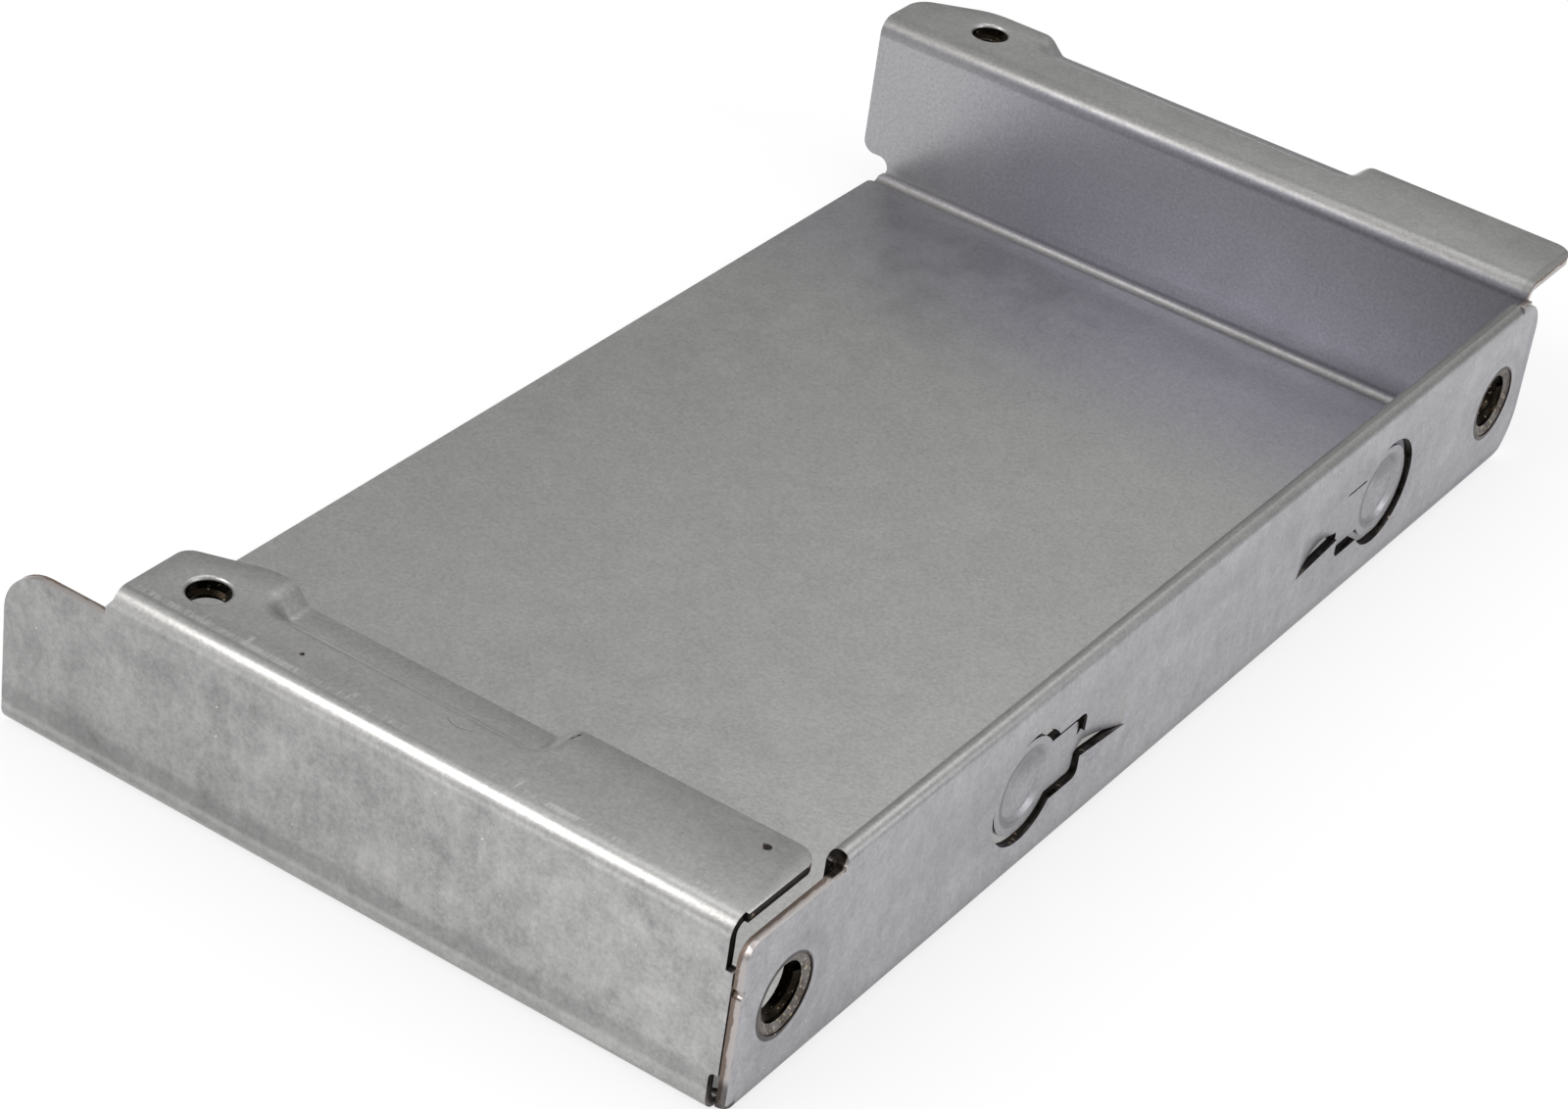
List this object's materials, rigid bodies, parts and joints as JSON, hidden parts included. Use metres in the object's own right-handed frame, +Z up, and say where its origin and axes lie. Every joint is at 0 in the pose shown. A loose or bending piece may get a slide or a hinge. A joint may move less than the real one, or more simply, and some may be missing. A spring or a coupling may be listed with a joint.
{
  "type": "drive bay blank",
  "caption": "Shallow tray folded from sheet steel to fill an empty drive bay, with flanged end walls, a hemmed side wall, spring tongues and tapped holes.",
  "frame": {"origin": "middle of the outer box, in the plane of the tray's underside that it stands on", "axes": "+Z up, out of the tray's open top; +Y along the tray towards the end whose flange is turned outwards; +X towards the hemmed side wall"},
  "size_m": [0.0716, 0.135, 0.0175],
  "materials": {
    "zinc_steel": "satin zinc plate with bare sheared edges"
  },
  "bodies": {
    "root": {"folded_blank": "zinc_steel"}
  },
  "joints": []
}
